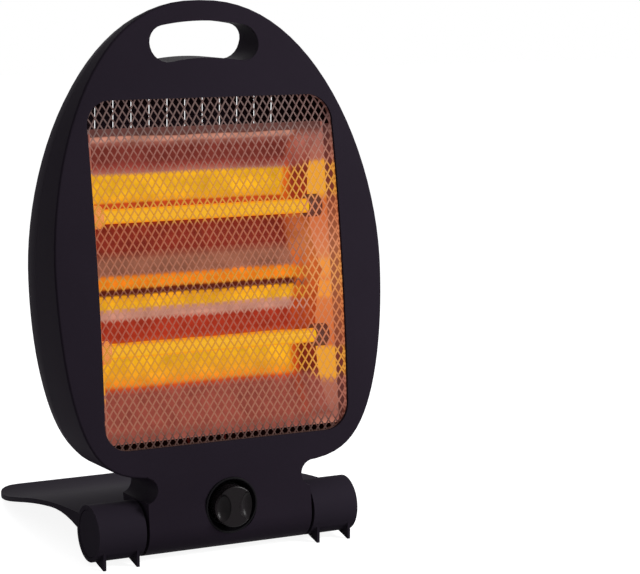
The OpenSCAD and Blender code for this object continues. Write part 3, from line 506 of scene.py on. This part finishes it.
# a random mottle over the painted reflections
mottle = tree.nodes.new("ShaderNodeTexNoise")
mottle.inputs["Scale"].default_value = 0.06
mottle.inputs["Detail"].default_value = 5
mottle.inputs["Roughness"].default_value = 0.65
tree.links.new(place, mottle.inputs["Vector"])
patchy = tree.nodes.new("ShaderNodeMapRange")
for end, value in (("From Min", 0.3), ("From Max", 0.7),
                   ("To Min", 0.68), ("To Max", 1.25)):
    patchy.inputs[end].default_value = value
tree.links.new(mottle.outputs["Fac"], patchy.inputs["Value"])
uneven = tree.nodes.new("ShaderNodeMix")
uneven.data_type = "RGBA"
uneven.blend_type = "MULTIPLY"
uneven.inputs["Factor"].default_value = 1
tree.links.new(even_glow, uneven.inputs["A"])
tree.links.new(patchy.outputs["Result"], uneven.inputs["B"])
tree.links.new(uneven.outputs["Result"], shader.inputs["Emission Color"])
shader.inputs["Emission Strength"].default_value = 1.0
softened("reflector", "head", painted_reflector, width=0)

# the end plates' look is painted into their emission: painted reflections and glow of the
# tubes, and dimmer painted light on the flanges, over a dark own colour
painted_end_plate, tree, shader = metal("end_plate_painted_light", (0.02, 0.01, 0.008), roughness=0.5,
                                stretch=(8, 0.2, 8))
place, across, height = window_place(tree)
wavy = wavered(tree, place, height, depth=-3, waver_scale=0.06)
from_middle = tree.nodes.new("ShaderNodeMath")
from_middle.operation = "ABSOLUTE"
tree.links.new(across, from_middle.inputs[0])
on_flange = between(tree, from_middle.outputs["Value"], 88.4, 89.5)
tree.links.new(blended(tree, on_flange, bands(tree, wavy, plate_bands),
                       bands(tree, wavy, flange_bands)),
               shader.inputs["Emission Color"])
shader.inputs["Emission Strength"].default_value = 1.0
softened("reflector_end_left", "head", painted_end_plate, width=0)
softened("reflector_end_right", "head", painted_end_plate, width=0)
finish_with(zinc_steel, "reflector_screws")

# The guard: expanded metal with diamond openings, held in a folded rim behind
# the window. Its plating has dulled from the heat. The glow that each strand
# catches from the band behind it is painted into its emission, by height in
# the window.
# colours of the painted light and shade on the strands, by height in mm, across the window
# and near its ends
amber = (0.72, 0.3, 0.018)
tan = (0.38, 0.13, 0.08)
scarlet = (0.42, 0.08, 0.045)
strand_bands = [
    (0, (0.04, 0.02, 0.017)), (6, (0.08, 0.035, 0.03)), (15, tan), (41.5, tan),
    (45, amber), (71, amber), (73.5, scarlet), (86, scarlet), (88, rose), (93, rose),
    (95, amber), (102.5, amber), (104, (0.2, 0.045, 0.02)), (107.5, (0.2, 0.045, 0.02)),
    (109, amber), (115.5, amber), (118, (0.4, 0.14, 0.08)), (128, (0.4, 0.13, 0.07)),
    (138, (0.42, 0.1, 0.045)), (150, (0.42, 0.1, 0.04)), (153, amber), (184.5, amber),
    (187, (0.38, 0.14, 0.1)), (193, (0.27, 0.07, 0.05)), (204, (0.3, 0.11, 0.085)),
    (208, (0.36, 0.17, 0.14)), (212, (0.17, 0.095, 0.085)), (220, (0.12, 0.075, 0.07))]
strand_corner = [
    (0, (0.04, 0.02, 0.017)), (6, (0.09, 0.035, 0.03)), (20, (0.4, 0.14, 0.1)),
    (36, (0.45, 0.15, 0.1)), (40, (0.82, 0.35, 0.05)), (56, (0.82, 0.35, 0.05)),
    (60, (0.55, 0.17, 0.08)), (90, (0.72, 0.22, 0.07)), (104, (0.82, 0.32, 0.08)),
    (118, (0.82, 0.32, 0.09)), (130, (0.78, 0.28, 0.13)), (150, (0.68, 0.21, 0.09)),
    (162, (0.64, 0.2, 0.08)), (168, (0.82, 0.35, 0.05)), (186, (0.82, 0.35, 0.05)),
    (190, (0.48, 0.17, 0.11)), (212, (0.22, 0.1, 0.085)), (220, (0.12, 0.06, 0.055))]


def strand_group():
    group = bpy.data.node_groups.new("strand_glow", "ShaderNodeTree")
    face = group.interface
    face.new_socket("Across", in_out="INPUT", socket_type="NodeSocketFloat")
    face.new_socket("Height", in_out="INPUT", socket_type="NodeSocketFloat")
    face.new_socket("Colour", in_out="OUTPUT", socket_type="NodeSocketColor")
    given = group.nodes.new("NodeGroupInput")
    result = group.nodes.new("NodeGroupOutput")
    height = given.outputs["Height"]
    near_end = between(group, given.outputs["Across"], 60, 72)
    colour = blended(group, near_end, bands(group, height, strand_bands),
                     bands(group, height, strand_corner))
    group.links.new(colour, result.inputs["Colour"])
    return group


strands_lit = strand_group()


def strand_glow(tree, across, height):
    glow = tree.nodes.new("ShaderNodeGroup")
    glow.node_tree = strands_lit
    tree.links.new(across, glow.inputs["Across"])
    tree.links.new(height, glow.inputs["Height"])
    return glow.outputs["Colour"]


guard_metal, tree, shader = metal("guard_metal", (0.035, 0.02, 0.016), roughness=0.5,
                                  metallic=0.35, gloss=0.2)
place, across, height = window_place(tree)
tree.links.new(strand_glow(tree, across, height), shader.inputs["Emission Color"])
shader.inputs["Emission Strength"].default_value = 0.8
finish_with(guard_metal, "guard_mesh")

# The rim is the same expanded metal, folded over twice. Its denser pattern of
# strands is painted onto the rim's plain sheet, with painted shade darkening the
# hollows between them, and the strands carry the guard's painted glow.
rim_metal, tree, shader = metal("rim_metal", (0.05, 0.028, 0.022), roughness=0.5,
                                metallic=0.35, gloss=0.2)
place, across, height = window_place(tree)
diamond_w, diamond_h = 5.75, 8.8
from_strands = []
for slope in (1, -1):
    columns = tree.nodes.new("ShaderNodeMath")
    columns.operation = "DIVIDE"
    columns.inputs[1].default_value = diamond_w
    tree.links.new(across, columns.inputs[0])
    slanted = tree.nodes.new("ShaderNodeMath")
    slanted.operation = "MULTIPLY_ADD"
    slanted.inputs[1].default_value = slope / diamond_h
    tree.links.new(height, slanted.inputs[0])
    tree.links.new(columns.outputs["Value"], slanted.inputs[2])
    apart = tree.nodes.new("ShaderNodeMath")
    apart.operation = "PINGPONG"
    apart.inputs[1].default_value = 0.5
    tree.links.new(slanted.outputs["Value"], apart.inputs[0])
    from_strands.append(apart.outputs["Value"])
nearest = tree.nodes.new("ShaderNodeMath")
nearest.operation = "MINIMUM"
tree.links.new(from_strands[0], nearest.inputs[0])
tree.links.new(from_strands[1], nearest.inputs[1])
# painted shade: the hollows between the painted strands are multiplied darker
strand_edge, hollow_edge = 0.08, 0.16
shaded = tree.nodes.new("ShaderNodeMix")
shaded.data_type = "RGBA"
shaded.blend_type = "MULTIPLY"
shaded.inputs["B"].default_value = (0.42, 0.3, 0.26, 1)
tree.links.new(between(tree, nearest.outputs["Value"], strand_edge, hollow_edge),
               shaded.inputs["Factor"])
tree.links.new(strand_glow(tree, across, height), shaded.inputs["A"])
tree.links.new(shaded.outputs["Result"], shader.inputs["Emission Color"])
shader.inputs["Emission Strength"].default_value = 0.9
finish_with(rim_metal, "guard_rim")

# The two quartz tubes glow yellow from the coils inside them. That glow is
# painted into the glass's emission by height in the window, with a painted
# deeper tone along their upper and lower edges, where the glass is seen
# through its thickness.
hot_quartz, tree, shader = principled("hot_quartz")
place, across, height = window_place(tree)
flow = tree.nodes.new("ShaderNodeTexNoise")
flow.inputs["Scale"].default_value = 0.09
tree.links.new(place, flow.inputs["Vector"])
tube_yellow, tube_amber = (0.86, 0.46, 0.015), (0.85, 0.38, 0.012)
tube_edge = (0.81, 0.22, 0.01)
tube_radius, bright_half = 5, 3.4
tube_middles = (66.4, 158.1)
paler_painted_glow, deeper_painted_glow = [
    bands(tree, height, [
        stop for middle in tube_middles for stop in (
            (middle - tube_radius, tube_edge), (middle - bright_half, tone),
            (middle + bright_half, tone), (middle + tube_radius, tube_edge))])
    for tone in (tube_yellow, tube_amber)]
tree.links.new(blended(tree, flow.outputs["Fac"], paler_painted_glow, deeper_painted_glow),
               shader.inputs["Emission Color"])
shader.inputs["Emission Strength"].default_value = 1.0
shader.inputs["Base Color"].default_value = (0.05, 0.02, 0.005, 1)
shader.inputs["Specular IOR Level"].default_value = 0.15
shader.inputs["Roughness"].default_value = 0.25
finish_with(hot_quartz, "quartz_tube_upper", "quartz_tube_lower")

# The coils of resistance wire run the length of the tubes, at yellow heat, a
# little paler towards the middle of the window.
hot_wire, tree, shader = principled("hot_wire")
height = window_place(tree)[2]
tree.links.new(bands(tree, height, [(0, yellow), (110, (1, 0.7, 0.2)), (220, yellow)]),
               shader.inputs["Emission Color"])
shader.inputs["Emission Strength"].default_value = 1.2
shader.inputs["Base Color"].default_value = (0.3, 0.12, 0.03, 1)
finish_with(hot_wire, "heating_coil_upper", "heating_coil_lower")

# Steatite caps close the tubes, with the zinc-plated brackets that carry them.
# The tubes' light on the left pair is painted, as a lighter colour and a warm
# emission; the shade on the right pair is painted, as a darker colour and a
# faint emission.
for name, colour, glow, caps in (
    ("steatite_painted_light", (0.2, 0.1, 0.06), (0.62, 0.2, 0.03), "ceramic_caps_left"),
    ("steatite", (0.07, 0.035, 0.03), (0.06, 0.018, 0.013), "ceramic_caps_right"),
):
    ceramic = moulded(name, colour, roughness=0.55, grain_size=500, depth=0.3)
    painted_glow_shader = ceramic.node_tree.nodes["Principled BSDF"]
    painted_glow_shader.inputs["Emission Color"].default_value = (*glow, 1)
    painted_glow_shader.inputs["Emission Strength"].default_value = 1
    finish_with(ceramic, caps)
finish_with(zinc_steel, "tube_bracket_left", "tube_bracket_right")

# Behind the reflector: thermal cut-out, terminal block and switches of pale
# heat-resistant plastic, and leads in braided glass-fibre sleeves.
pale_plastic = moulded("pale_moulding", (0.5, 0.46, 0.37), roughness=0.45,
                       grain_size=1200, depth=0.25)
sleeving = moulded("sleeving", (0.16, 0.03, 0.025), roughness=0.7,
                   grain_size=900, depth=0.6)
finish_with(pale_plastic, "thermal_cutout", "terminal_block", "tip_over_switch",
            "rotary_switch")
finish_with(sleeving, "lead_wires")

# The knob: a glossier disc with a ridge between two finger hollows, in a dark
# dish sunk into the hub. It sits on the switch's steel shaft.
knob_plastic = moulded("charcoal_knob", (0.009, 0.0072, 0.0082), roughness=0.22,
                       grain_size=1800, depth=0.12, gloss=0.07)
dish_plastic = moulded("charcoal_dish", (0.004, 0.0035, 0.0045), roughness=0.45,
                       grain_size=1500, depth=0.2, gloss=0.05)
softened("knob_dish", "head", dish_plastic)
softened("knob", "knob", knob_plastic, width=0.0006, sharp=22)
finish_with(zinc_steel, "switch_shaft")

# The hinge: acetal bushes in the hub's end walls turn on two steel bolts, which
# cone washers and nuts keep tight.
acetal = moulded("acetal", (0.62, 0.6, 0.54), roughness=0.35, grain_size=1200, depth=0.15)
finish_with(acetal, "hinge_bush_left", "hinge_bush_right")
finish_with(zinc_steel, "pivot_bolt_left", "pivot_bolt_right", "pivot_springs",
            "pivot_nuts")

# The stand: one charcoal moulding of two knuckles and a low curved plate, a
# little smoother than the head, with push-in caps at the knuckles' ends.
stand_plastic = moulded("charcoal_stand", (0.0185, 0.0148, 0.0215), roughness=0.5,
                        grain_size=1500, depth=0.22, gloss=0.003)
softened("stand", "stand", stand_plastic, width=0.0007)
softened("knuckle_cap_left", "stand", stand_plastic)
softened("knuckle_cap_right", "stand", stand_plastic)

# Matt black rubber: two feet pressed into the plate's underside at the rear, and
# the gland in the back shell.
black_rubber = moulded("black_rubber", (0.012, 0.012, 0.012), roughness=0.6,
                       grain_size=900, depth=0.4)
finish_with(black_rubber, "foot_pads", "cord_gland")
